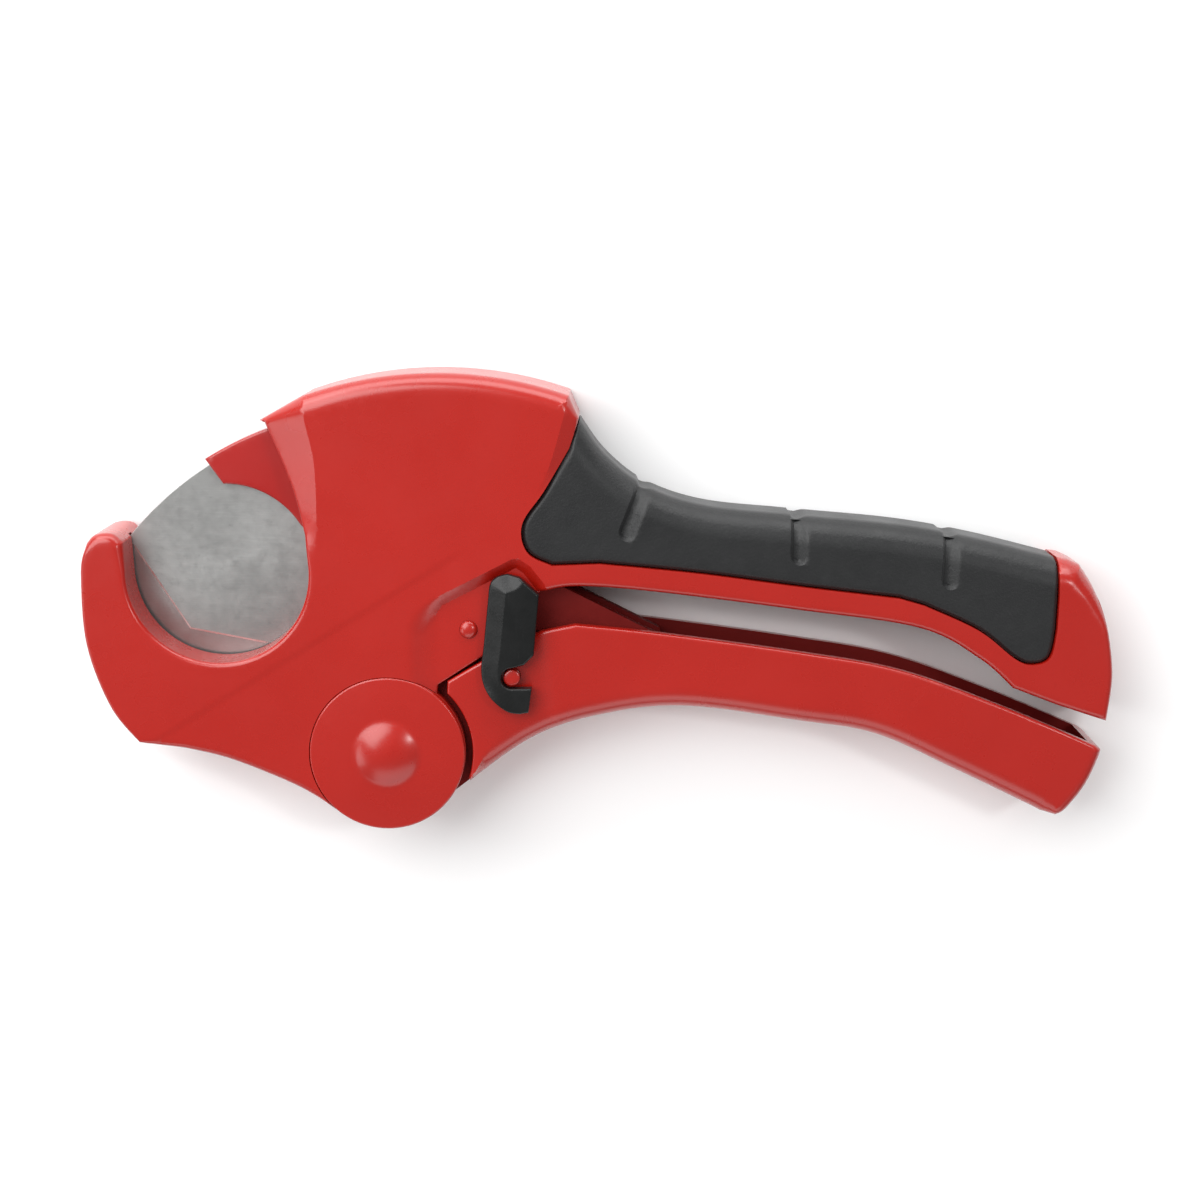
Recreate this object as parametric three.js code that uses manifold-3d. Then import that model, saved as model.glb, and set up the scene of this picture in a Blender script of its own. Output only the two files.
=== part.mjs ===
// A ratchet cutter for plastic pipe, lying on its far side. Millimetres, +Z up.
// The origin is on the main pivot axis, at the flat face of the far pivot cap. +X runs along the handles
// and +Y towards the fixed handle. The jaw, blade and pivot are to the left of the handles, seen from +Z.
import * as THREE from "three";
import { mergeVertices } from "three/addons/utils/BufferGeometryUtils.js";
import Module from "manifold-3d";

const wasm = await Module();
wasm.setup();

// ---- driving dimensions ----
const FACE_Z = 24; // near face of the body; the far face is at 0
const MID_Z = 12; // plane where the two shells meet
const BEVEL = 1; // broken edge of the castings
const GAP = 0.3; // clearance between pieces that lie against each other
const REACH = 5; // how far a cutting tool runs past what it cuts

const PIVOT = [0, 0];
const BOSS_R = 18.5;
const CAP = { r: 18.4, depth: 2, rim: 0.5, dome: 7.8, domeHeight: 2 };
const SPANNER_HOLES = { x: 12, r: 1.5, depth: 1.2 }; // in the far cap
const FORK = { hub: 17.8, bore: 7.3, near: [15.3, 18.3], far: [5.7, 8.7] };
const FORK_SPACE = { r: 18.2, z: [5.3, 18.7] };
const BOLT = { r: 5, head: 8, headZ: [2.3, 4.6], top: 22.8, socket: 3, socketDepth: 1.2 };
const NUT = { r: 6.8, z: [20.2, 23], spaceR: 7.5, spaceFloor: 20.1 };
const BUSH = { inner: 5.3, outer: 7, z: [5.6, 18.4] };

const POCKET = { x: -39, y: 43.3, r: 21.4 }; // takes pipe up to 42 mm
const TOP_ARC = { x: 12.5, y: -3.8, r: 93.5 };
const CARRIER = { z: [9, 15], r: 81.1, pocketR: 24.3, spaceZ: [8.6, 15.4], spaceR: 82, spacePocketR: 23.6 };
const ARM_ARC = { x: -38, y: 42.5, r: 20.7 }; // where the carrier's arm follows the pocket
const SPRING_GROOVE = { inner: 8.7, outer: 12.3, floor: 12.4 };
const BLADE = { z: [11.1, 12.9], slotZ: [11, 13], bodySlotZ: [10.8, 13.2], r: 79.4, spaceR: 80 };
const WHEEL = { tip: 17, root: 15.6, pitch: 7.2, steepAt: 72, armFrom: 96, armTo: 152 };

const LEVER = { z: [1, 23], wall: 2.6, bevel: 0.6, frontR: 20.2 };
const HANDLE_HOLLOW = { wall: 3, z: [6.5, 17.5], from: 60 };
const GRIP = { z: [0.6, 23.4], wall: 2.8 };
const GRIP_GROOVE = { r: 1.7, depth: 1 };
const GRIP_GROOVES = [[[62, 66], [57.4, 53.6]], [[97, 59], [97, 48]], [[133, 54], [132.2, 42]]];
const CATCH = { x: 29.7, y: 18.7, r: 2, z: [0.6, 23.2] };
const LATCH = { x: 30, y: 37.2, z: [23.5, 26.3], bevel: 0.5, bossR: 3.4, bossZ: 22.5, hookR: 2.5 };
const LATCH_PIN = { r: 1.6, z: [16.2, 25.4], holeR: 1.7, holeZ: [15, 25.6] };
const RECESS_Z = 22.2;
const STUD = { x: 19.5, y: 29.7, r: 2.1, z: [19.5, 22.4], domeHeight: 0.9 };
const POST = { x: 46, y: 20, r: 2.2, z: [6, 18] };
const HOLDING = { x: -29, y: 8.5, r: 4, spaceR: 4.7 };
const HOLDING_PIN = { r: 1.8, z: [5, 19], holeZ: [4.7, 19.3] };
const CLOSE = 0.05; // clearance of a pin in the hole that holds it
const LOOSE = 0.1; // clearance of a pin in a piece that turns on it
const PAWL_Z = [9.2, 12.4]; // both pawls share the height of the wheel with their springs
const PAWL_SPRING_Z = 13.3;
const DRIVE_EYE_R = 4.2;
const BLADE_SCREWS = [[-20.5, 66.5], [-12.2, 33]];
const BLADE_SCREW = { r: 2, hole: 2.3, z: [9.2, 14.8], socket: 1, socketFloor: 13.6 };
const BODY_SCREWS = [[-48, 9], [8, 85.7], [38, 79.5], [163.5, 24]];
const BODY_SCREW = { r: 1.5, head: 3, headZ: [0.3, 2.3], end: 17, socket: 1.3, socketFloor: 1.5 };

// Torsion springs: coil radius r, first turn at z, rise of each turn, start angle and the length of each leg.
const BLADE_SPRING = { wire: 0.6, r: 10.5, z: 13.2, pitch: 0, turns: 0.8, start: 0, legs: [0.5, 0.5] };
const RETURN_SPRING = { wire: 0.6, r: 4, z: 10, pitch: 1.4, turns: 2.6, start: -60, legs: [6, 12] };
const DRIVE_SPRING = { wire: 0.35, r: 3, z: PAWL_SPRING_Z, pitch: 0.8, turns: 1.5, start: 0, legs: [3, 3] };
const HOLDING_SPRING = { ...DRIVE_SPRING, r: 2.8, start: 180, legs: [1, 1] };

// ---- solids ----
const solidOf = (geometry) => {
  const bare = geometry.index ? geometry.toNonIndexed() : geometry;
  bare.deleteAttribute("normal");
  bare.deleteAttribute("uv");
  const merged = mergeVertices(bare, 1e-4);
  return new wasm.Manifold(
    new wasm.Mesh({
      numProp: 3,
      vertProperties: merged.attributes.position.array,
      triVerts: new Uint32Array(merged.index.array),
    }),
  );
};
const v2 = ([x, y]) => new THREE.Vector2(x, y);
const radians = THREE.MathUtils.degToRad;

// Points on a circle, both ends included; angles in degrees, anticlockwise from +X.
const arc = (x, y, r, from, to, steps) =>
  Array.from({ length: steps + 1 }, (_, i) => {
    const a = radians(from + ((to - from) * i) / steps);
    return [x + r * Math.cos(a), y + r * Math.sin(a)];
  });
// A smooth curve through a few points, sampled in even steps.
const bend = (points, steps) =>
  new THREE.SplineCurve(points.map(v2)).getSpacedPoints(steps).map((p) => [p.x, p.y]);

// Moves each corner of an outline outwards by a distance, or inwards where it is negative.
const grow = (outline, distance) => {
  const side = THREE.ShapeUtils.isClockWise(outline.map(v2)) ? -1 : 1;
  return outline.map((corner, i) => {
    const before = outline[(i + outline.length - 1) % outline.length];
    const after = outline[(i + 1) % outline.length];
    const a = v2(corner).sub(v2(before)).normalize();
    const b = v2(after).sub(v2(corner)).normalize();
    const normal = new THREE.Vector2(a.y + b.y, -a.x - b.x).multiplyScalar(side).normalize();
    const miter = Math.max(0.4, normal.dot(new THREE.Vector2(a.y, -a.x).multiplyScalar(side)));
    return v2(corner).addScaledVector(normal, distance / miter).toArray();
  });
};

const plate = (outline, [z0, z1], bevel = 0) => {
  const geometry = new THREE.ExtrudeGeometry(new THREE.Shape(outline.map(v2)), {
    depth: z1 - z0 - 2 * bevel,
    bevelEnabled: bevel > 0,
    bevelThickness: bevel,
    bevelSize: bevel,
    bevelOffset: -bevel,
    bevelSegments: 1,
  });
  return solidOf(geometry.translate(0, 0, z0 + bevel));
};
const disc = (x, y, r, z, sides = 32) => plate(arc(x, y, r, 0, 360 - 360 / sides, sides - 1), z);
const ring = (x, y, inner, outer, z, sides) =>
  disc(x, y, outer, z, sides).subtract(disc(x, y, inner, [z[0] - REACH, z[1] + REACH], sides));
const lathe = (profile, sides) => {
  const geometry = new THREE.LatheGeometry(profile.map(v2), sides);
  return solidOf(geometry.rotateX(Math.PI / 2));
};
// A long slot or capsule between two points.
const capsule = ([x0, y0], [x1, y1], r, z) => {
  const turn = THREE.MathUtils.radToDeg(Math.atan2(y1 - y0, x1 - x0));
  return plate([...arc(x0, y0, r, turn + 90, turn + 270, 6), ...arc(x1, y1, r, turn - 90, turn + 90, 6)], z);
};

// A torsion spring: a coil about a vertical axis with a straight leg at each end.
class TorsionWire extends THREE.Curve {
  constructor([x, y], { r, z, pitch, turns, start, legs }) {
    super();
    const around = (t) => {
      const a = radians(start + 360 * turns * t);
      return new THREE.Vector3(x + r * Math.cos(a), y + r * Math.sin(a), z + pitch * turns * t);
    };
    const steps = Math.ceil(14 * turns);
    const points = Array.from({ length: steps + 1 }, (_, i) => around(i / steps));
    const leg = (end, before, length) => end.clone().add(end.clone().sub(before).setLength(length).setZ(0));
    const first = leg(points[0], points[1], legs[0]);
    const last = leg(points[steps], points[steps - 1], legs[1]);
    this.points = [first, ...points, last];
  }
  getPoint(t, target = new THREE.Vector3()) {
    const at = t * (this.points.length - 1);
    const i = Math.min(Math.floor(at), this.points.length - 2);
    return target.lerpVectors(this.points[i], this.points[i + 1], at - i);
  }
}
const spring = (centre, shape) => {
  const curve = new TorsionWire(centre, shape);
  const section = new THREE.Shape(arc(0, 0, shape.wire, 0, 300, 5).map(v2));
  const steps = curve.points.length - 1;
  return solidOf(new THREE.ExtrudeGeometry(section, { steps, bevelEnabled: false, extrudePath: curve }));
};

// ---- outlines ----
const underGrip = bend(
  [[43.4, 77.4], [49.6, 68.7], [59.3, 61.1], [74.1, 55.9], [94.7, 53.7], [119.9, 51.3], [157.7, 43.6]],
  18,
);
const gripTop = bend(
  [
    [45.7, 78.8], [51.6, 70.7], [60.7, 63.5], [74.5, 58.7],
    [94.9, 56.5], [120.2, 54.1], [138.4, 50.9], [157.3, 46.2],
  ],
  18,
);
const handleUnder = bend(
  [[147.8, 15.8], [139.8, 22.8], [125.5, 30.2], [97.3, 34.5], [62.1, 39], [44.6, 40.2], [36.4, 38.8]],
  18,
);
const bodyOutline = [
  ...bend([[-58.6, 2.7], [-65.1, 11.4], [-70.1, 26.4], [-70.6, 43], [-68.6, 50.4]], 8),
  [-66, 52],
  [-62.5, 52],
  [-60.7, 50.8],
  ...arc(POCKET.x, POCKET.y, POCKET.r, 180, 364, 26),
  ...bend([[-18.2, 52.1], [-21.5, 63.9], [-27.5, 78]], 4),
  [-28.9, 78.5],
  ...arc(TOP_ARC.x, TOP_ARC.y, TOP_ARC.r, 109.2, 70.8, 12),
  [45.5, 79.3],
  ...underGrip,
  [157.9, 46.3],
  ...bend([[162.4, 45.3], [169.3, 30.9], [171.1, 18.9], [170.1, 7.8]], 8),
  [157.9, 11.9],
  ...handleUnder,
  [27, 26],
  [13.5, 17.2],
  [12.1, 16.3],
  ...arc(...PIVOT, BOSS_R, 50, -132.6, 22),
  ...bend([[-16.1, -11.3], [-23.2, -7.3], [-37.2, -1.5], [-48, 1.2]], 6),
];
const gripOutline = [
  ...gripTop,
  [157.4, 37.1],
  ...bend([[157.2, 29.9], [155.9, 23.4], [152.1, 21.8], [148, 23.2], [139.4, 29.9], [126.4, 35.9]], 10),
  ...bend([[120.5, 37.6], [97.1, 40.4], [73.7, 43.5], [50.4, 45.8]], 6),
  ...bend([[39.3, 45.4], [33.7, 48.4], [32.6, 54.8], [37.7, 62.5], [43.5, 72.2]], 10),
];
const leverOutline = [
  ...bend([[14.4, 17.2], [22.2, 21.8], [36.6, 29.3]], 4),
  ...bend([[44.6, 30.9], [64.5, 28.8], [97.5, 24.2], [121.1, 19.9], [144.9, 11.4], [169.5, 0.9]], 14),
  ...bend([[169.1, -1], [166.3, -7.9], [161.8, -14.1], [158.3, -15.9]], 4),
  ...bend(
    [
      [155.8, -14.9], [133.9, -4.2], [115.9, 3.9], [98, 7],
      [69.4, 10.7], [48.1, 8], [33.8, 2.6], [19.4, -7.7],
    ],
    20,
  ),
  ...arc(...PIVOT, LEVER.frontR, -19, 45, 6),
];
// Floor and end wall of the channel in the lever; its other sides run out past the walls.
const channelOutline = [
  [10, -12],
  ...bend(
    [
      [17.6, -5.5], [32.3, 5.1], [47, 10.7], [69.4, 13.5],
      [98.4, 9.8], [116.6, 6.6], [134.9, -1.5], [155.5, -11.4],
    ],
    16,
  ),
  ...bend([[160, -11.2], [163.6, -6.8], [166.4, 0]], 3),
  [167, 20],
  [60, 45],
  [0, 45],
];
const forkOutline = [
  ...arc(...PIVOT, FORK.hub, 63, 307.7, 26),
  [24, -3.9],
  ...bend([[26.6, -1.4], [40.9, 6.2], [55.2, 10.1], [66, 11.4]], 4),
  [66, 24],
  [64.7, 27.5],
  [42.2, 38.9],
  [38, 40.5],
  [34.5, 36],
  [26, 29],
  [12, 21],
];
// The forks and the ratchet wheel turn in this space, which is open to the lower right.
const forkSpace = [
  ...arc(...PIVOT, FORK_SPACE.r, 63, 227, 16),
  [-13.6, -15],
  [-14, -60],
  [120, -60],
  [120, 5],
  [66, 28.4],
  [42.7, 39.5],
  [38, 41.3],
  [33.9, 36.6],
  [25.6, 29.7],
  [11.7, 21.7],
];
const carrierArm = [
  [-10, 4],
  [-15, 8],
  [-24.5, 14.5],
  ...arc(POCKET.x, POCKET.y, CARRIER.pocketR, -54, 12, 8),
  ...arc(ARM_ARC.x, ARM_ARC.y, ARM_ARC.r, 32, 91, 6),
  ...arc(...PIVOT, CARRIER.r, 121.6, 111.5, 4),
  [-16.9, 67.9],
  [-7, 54],
  [-4, 41],
  [-2.5, 30],
  [-0.5, 15],
];
const carrierSpace = [
  [-12, 0],
  [-15, 6.6],
  [-25.2, 13.6],
  ...arc(POCKET.x, POCKET.y, CARRIER.spacePocketR, -64, 14, 8),
  [-30, 50],
  [-60, 62],
  ...arc(...PIVOT, CARRIER.spaceR, 126, 57, 16),
  [45.5, 55],
  [41.4, 42],
  [41.4, 37],
  [20, 10],
];
const holdingSpace = [
  ...arc(HOLDING.x, HOLDING.y, HOLDING.spaceR, 60, 200, 8),
  [-24.8, -4.2],
  [-18, -9],
  [-10, -9],
  [-10, 4],
];
const bladeOutline = [
  [-52.4, 21.2],
  [-24, 15.7],
  ...bend([[-13, 23], [-8.5, 33], [-8, 45], [-13, 60], [-24, 72]], 8),
  ...arc(...PIVOT, BLADE.r, 112, 146.85, 12),
];
// The closed blade and the way it takes back into the body.
const bladeSpace = [
  [-53.2, 20.3],
  [-24, 14.6],
  [-10, 8],
  [0, 20],
  ...arc(...PIVOT, BLADE.spaceR, 100, 147, 14),
  [-67.6, 43],
];
const latchOutline = [
  ...bend([[28.8, 43.3], [26.4, 42.6], [24.8, 41], [24.3, 37.5]], 4),
  ...bend([[23.1, 25.8], [22.5, 20.8], [23, 17.1], [24.9, 13.7], [28.5, 10.8], [31.5, 10.2]], 8),
  [33.6, 10.5],
  [34.4, 16.3],
  ...arc(CATCH.x, CATCH.y, LATCH.hookR, 280, 90, 7),
  [32.6, 21.9],
  [34.9, 24.2],
  [36.2, 38.6],
  [31.7, 42.6],
];
const recessOutline = [[4, 33.5], [30, 46.8], [34.5, 46], [39, 41], [50, 38], [30, 20], [13, 12], [4, 14]];
const drivePawlOutline = [
  [5.4, 15.3],
  [7.5, 15.9],
  [12, 14.9],
  [26.5, 15.4],
  ...arc(CATCH.x, CATCH.y, DRIVE_EYE_R, 230, 482, 14),
  [14, 20.6],
  [6.4, 18.4],
];
const holdingPawlOutline = [
  [-16.3, -5.9],
  [-18.3, -1.5],
  ...arc(HOLDING.x, HOLDING.y, HOLDING.r, 0, 210, 12),
  [-22.5, -3.5],
  [-18.7, -7],
];

// Saw teeth round the wheel, each with its steep face turned clockwise; the arm covers the bare stretch.
const wheelOutline = () => {
  const rim = [];
  for (let a = WHEEL.armTo - 360; a < WHEEL.armFrom; a += WHEEL.pitch) {
    const steep = WHEEL.steepAt + WHEEL.pitch * Math.round((a - WHEEL.steepAt) / WHEEL.pitch);
    rim.push(...arc(...PIVOT, WHEEL.root, steep - 0.1, steep - 0.1, 1).slice(1));
    rim.push(...arc(...PIVOT, WHEEL.tip, steep, steep, 1).slice(1));
  }
  return rim;
};

const through = [CARRIER.z[0] - REACH, CARRIER.z[1] + REACH]; // right through the pieces between the forks

// ---- pieces of the body ----
const near = [MID_Z, FACE_Z + REACH];
const far = [-REACH, MID_Z];
const everything = [[-100, -100], [200, -100], [200, 150], [-100, 150]];

// Hollow of the fixed handle, inside its walls.
const handleHollow = () => {
  const walls = [...underGrip, ...handleUnder].filter(([x]) => x > HANDLE_HOLLOW.from);
  return plate(grow(walls, -HANDLE_HOLLOW.wall), HANDLE_HOLLOW.z);
};
const screwHoles = (holes) => {
  for (const [x, y] of BODY_SCREWS) {
    holes.push(disc(x, y, BODY_SCREW.r + GAP, [-REACH, BODY_SCREW.end + GAP], 12));
    holes.push(disc(x, y, BODY_SCREW.head + GAP, [-REACH, BODY_SCREW.headZ[1] + GAP], 16));
  }
};
const bodyCuts = () => {
  const past = FACE_Z + REACH;
  const cuts = [
    plate(forkSpace, FORK_SPACE.z),
    plate(carrierSpace, CARRIER.spaceZ),
    plate(holdingSpace, CARRIER.spaceZ),
    plate(bladeSpace, BLADE.bodySlotZ),
    handleHollow(),
    disc(...PIVOT, CAP.r + GAP, [FACE_Z - CAP.depth, past], 48),
    disc(...PIVOT, CAP.r + GAP, [-REACH, CAP.depth], 48),
    disc(...PIVOT, BOLT.r + GAP, [-REACH, past], 32),
    disc(...PIVOT, BOLT.head + GAP, [-REACH, BOLT.headZ[1] + GAP], 32),
    disc(...PIVOT, NUT.spaceR, [NUT.spaceFloor, past], 32),
    plate(recessOutline, [RECESS_Z, past]),
    disc(LATCH.x, LATCH.y, LATCH_PIN.holeR, [LATCH_PIN.z[0] - GAP, past], 20),
    disc(STUD.x, STUD.y, STUD.r + GAP, [STUD.z[0] - GAP, past], 20),
    disc(HOLDING.x, HOLDING.y, HOLDING_PIN.r + CLOSE, HOLDING_PIN.holeZ, 20),
    plate(grow(gripOutline, GAP), [GRIP.z[1] - GRIP.wall - GAP, past]),
    plate(grow(gripOutline, GAP), [-REACH, GRIP.z[0] + GRIP.wall + GAP]),
  ];
  screwHoles(cuts);
  return cuts;
};
const casting = plate(bodyOutline, [0, FACE_Z], BEVEL);
const wholeBody = bodyCuts().reduce((body, cut) => body.subtract(cut), casting);
const shell = (half) => wholeBody.intersect(plate(everything, half));

const grip = () => {
  const core = [...underGrip.map(([x, y]) => [x + 0.1, y + GAP]), [170, 43], [170, -10], [20, -10], [20, 85]];
  let made = plate(gripOutline, GRIP.z, BEVEL);
  made = made.subtract(plate(core, [GRIP.z[0] + GRIP.wall, GRIP.z[1] - GRIP.wall]));
  const { r, depth } = GRIP_GROOVE;
  for (const [top, bottom] of GRIP_GROOVES) {
    made = made.subtract(capsule(top, bottom, r, [GRIP.z[1] - depth, FACE_Z + REACH]));
    made = made.subtract(capsule(top, bottom, r, [-REACH, GRIP.z[0] + depth]));
  }
  return made;
};

const nearCap = () => {
  const top = FACE_Z + CAP.domeHeight;
  const sphere = (CAP.dome ** 2 + CAP.domeHeight ** 2) / (2 * CAP.domeHeight);
  const dome = Array.from({ length: 5 }, (_, i) => {
    const r = CAP.dome * (1 - i / 5);
    return [r, top - sphere + Math.sqrt(sphere ** 2 - r ** 2)];
  });
  const bottom = FACE_Z - CAP.depth;
  const hollow = NUT.r + GAP;
  return lathe(
    [[0, NUT.z[1] + GAP], [hollow, NUT.z[1] + GAP], [hollow, bottom], [CAP.r, bottom],
      [CAP.r, FACE_Z - CAP.rim], [CAP.r - CAP.rim, FACE_Z], ...dome, [0, top]],
    48,
  );
};
const farCap = () => {
  const { x, r, depth } = SPANNER_HOLES;
  const profile = [[0, 0], [CAP.r - CAP.rim, 0], [CAP.r, CAP.rim], [CAP.r, CAP.depth], [0, CAP.depth]];
  const made = lathe(profile, 48);
  const holes = [-x, x].map((at) => disc(at, 0, r, [-REACH, depth], 12));
  return holes.reduce((cap, hole) => cap.subtract(hole), made);
};
const bodyScrew = ([x, y]) => {
  const { r, head, headZ, end, socket, socketFloor } = BODY_SCREW;
  const shank = disc(x, y, r, [headZ[0] + 1, end], 12);
  return disc(x, y, head, headZ, 16).add(shank).subtract(disc(x, y, socket, [-REACH, socketFloor], 6));
};

// ---- pivot ----
const pivotBolt = () => {
  const { r, head, headZ, top, socket, socketDepth } = BOLT;
  const shank = disc(...PIVOT, r, [headZ[1] - 0.5, top], 24);
  const key = disc(...PIVOT, socket, [-REACH, headZ[0] + socketDepth], 6);
  return disc(...PIVOT, head, headZ, 24).add(shank).subtract(key);
};
const pivotNut = () => {
  const bore = disc(...PIVOT, BOLT.r + CLOSE, [NUT.z[0] - REACH, NUT.z[1] + REACH], 24);
  return disc(...PIVOT, NUT.r, NUT.z, 6).subtract(bore);
};

// ---- lever ----
const lever = () => {
  const inner = [LEVER.z[0] + LEVER.wall, LEVER.z[1] - LEVER.wall];
  let made = plate(leverOutline, LEVER.z, LEVER.bevel).subtract(plate(channelOutline, inner));
  made = made.add(plate(forkOutline, FORK.near)).add(plate(forkOutline, FORK.far));
  made = made.subtract(disc(...PIVOT, FORK.bore, [0, FACE_Z], 32));
  made = made.subtract(disc(CATCH.x, CATCH.y, CATCH.r + CLOSE, [0, FACE_Z], 20));
  return made.subtract(disc(POST.x, POST.y, POST.r + CLOSE, [POST.z[0] - 1, POST.z[1] + 1], 20));
};
const catchPin = () => {
  const shank = disc(CATCH.x, CATCH.y, CATCH.r, [CATCH.z[0], CATCH.z[1] - 0.4], 20);
  return shank.add(disc(CATCH.x, CATCH.y, CATCH.r - 0.4, CATCH.z, 20));
};
const drivePawl = () =>
  plate(drivePawlOutline, PAWL_Z).subtract(disc(CATCH.x, CATCH.y, CATCH.r + LOOSE, through, 20));

// ---- carrier and blade ----
// Holes for the screws that clamp the blade in the carrier's slot.
const drilled = (solid) =>
  BLADE_SCREWS.reduce((made, [x, y]) => made.subtract(disc(x, y, BLADE_SCREW.hole, through, 16)), solid);
const carrier = () => {
  let made = plate(wheelOutline(), CARRIER.z).add(plate(carrierArm, CARRIER.z));
  const { inner, outer, floor } = SPRING_GROOVE;
  made = made.subtract(disc(...PIVOT, FORK.bore, through, 32));
  made = made.subtract(ring(...PIVOT, inner, outer, [floor, through[1]], 32));
  made = made.subtract(plate(grow(bladeOutline, GAP), BLADE.slotZ));
  return drilled(made);
};
const blade = () => drilled(plate(bladeOutline, BLADE.z));
const bladeScrew = ([x, y]) => {
  const socket = disc(x, y, BLADE_SCREW.socket, [BLADE_SCREW.socketFloor, through[1]], 6);
  return disc(x, y, BLADE_SCREW.r, BLADE_SCREW.z, 16).subtract(socket);
};

// ---- holding pawl ----
const holdingPawl = () =>
  plate(holdingPawlOutline, PAWL_Z).subtract(disc(HOLDING.x, HOLDING.y, HOLDING_PIN.r + LOOSE, through, 20));

// ---- latch ----
const latch = () => {
  const boss = disc(LATCH.x, LATCH.y, LATCH.bossR, [LATCH.bossZ, LATCH.z[0] + 1], 24);
  const made = plate(latchOutline, LATCH.z, LATCH.bevel).add(boss);
  return made.subtract(disc(LATCH.x, LATCH.y, LATCH_PIN.holeR, LATCH_PIN.holeZ, 20));
};
const stud = () => {
  const { r, z, domeHeight } = STUD;
  const dome = [0, 0.25, 0.5, 0.75].map((t) => {
    const a = (t * Math.PI) / 2;
    return [r * Math.cos(a), z[1] + domeHeight * Math.sin(a)];
  });
  return lathe([[0, z[0]], [r, z[0]], ...dome, [0, z[1] + domeHeight]], 20).translate([STUD.x, STUD.y, 0]);
};

// ---- assembly ----
const RED = { color: 0xc8342a, roughness: 0.42, metalness: 0.1 };
const DEEP_RED = { color: 0xb82c24, roughness: 0.5, metalness: 0.1 };
const RUBBER = { color: 0x37383a, roughness: 0.85, metalness: 0 };
const BLACK = { color: 0x2c2e2e, roughness: 0.5, metalness: 0 };
const STEEL = { color: 0xa5a6a3, roughness: 0.4, metalness: 0.9 };
const BRONZE = { color: 0xb08d57, roughness: 0.5, metalness: 0.8 };

const cutter = new THREE.Group();
const place = (name, solid, look, group = cutter) => {
  const { vertProperties, triVerts } = solid.getMesh();
  const geometry = new THREE.BufferGeometry();
  geometry.setAttribute("position", new THREE.BufferAttribute(vertProperties, 3));
  geometry.setIndex(new THREE.BufferAttribute(triVerts, 1));
  geometry.computeVertexNormals();
  const mesh = new THREE.Mesh(geometry, new THREE.MeshStandardMaterial(look));
  mesh.name = name;
  group.add(mesh);
};

place("body_shell_near", shell(near), RED);
place("body_shell_far", shell(far), RED);
place("handle_grip", grip(), RUBBER);
place("pivot_cap_near", nearCap(), RED);
place("pivot_cap_far", farCap(), RED);
BODY_SCREWS.forEach((at, i) => place(`body_screw_${i + 1}`, bodyScrew(at), STEEL));

place("pivot_bolt", pivotBolt(), STEEL);
place("pivot_nut", pivotNut(), STEEL);
place("pivot_bush", ring(...PIVOT, BUSH.inner, BUSH.outer, BUSH.z, 32), BRONZE);
place("blade_spring", spring(PIVOT, BLADE_SPRING), STEEL);

place("lever_handle", lever(), RED);
place("catch_pin", catchPin(), RED);
place("spring_post", disc(POST.x, POST.y, POST.r, POST.z, 20), STEEL);
place("return_spring", spring([POST.x, POST.y], RETURN_SPRING), STEEL);
place("drive_pawl", drivePawl(), STEEL);
place("drive_pawl_spring", spring([CATCH.x, CATCH.y], DRIVE_SPRING), STEEL);

place("blade_carrier", carrier(), DEEP_RED);
place("blade", blade(), STEEL);
BLADE_SCREWS.forEach((at, i) => place(`blade_screw_${i + 1}`, bladeScrew(at), STEEL));

place("holding_pawl", holdingPawl(), STEEL);
place("holding_pawl_pin", disc(HOLDING.x, HOLDING.y, HOLDING_PIN.r, HOLDING_PIN.z, 20), STEEL);
place("holding_pawl_spring", spring([HOLDING.x, HOLDING.y], HOLDING_SPRING), STEEL);

place("latch", latch(), BLACK);
place("latch_pin", disc(LATCH.x, LATCH.y, LATCH_PIN.r, LATCH_PIN.z, 20), STEEL);
place("latch_detent_stud", stud(), RED);

export default cutter;
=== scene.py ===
"""A ratchet cutter for plastic pipe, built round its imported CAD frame.

Shapes are worked out in millimetres.
"""

import math

import bmesh
import bpy
import numpy as np
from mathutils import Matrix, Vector
from mathutils.geometry import delaunay_2d_cdt
from mathutils.kdtree import KDTree

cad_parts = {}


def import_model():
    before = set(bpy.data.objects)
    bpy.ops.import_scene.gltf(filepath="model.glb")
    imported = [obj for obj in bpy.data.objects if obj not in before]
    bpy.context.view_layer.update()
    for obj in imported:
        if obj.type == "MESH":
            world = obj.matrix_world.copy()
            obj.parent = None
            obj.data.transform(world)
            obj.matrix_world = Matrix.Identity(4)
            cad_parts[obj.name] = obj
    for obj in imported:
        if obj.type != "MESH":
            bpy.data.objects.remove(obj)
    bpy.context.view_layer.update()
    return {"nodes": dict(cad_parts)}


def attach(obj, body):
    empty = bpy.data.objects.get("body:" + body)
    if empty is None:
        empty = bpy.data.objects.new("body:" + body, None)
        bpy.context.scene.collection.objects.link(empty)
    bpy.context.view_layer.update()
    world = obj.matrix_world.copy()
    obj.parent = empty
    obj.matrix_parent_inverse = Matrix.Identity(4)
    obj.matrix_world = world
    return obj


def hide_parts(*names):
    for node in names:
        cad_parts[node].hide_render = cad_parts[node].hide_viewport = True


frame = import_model()

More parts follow.
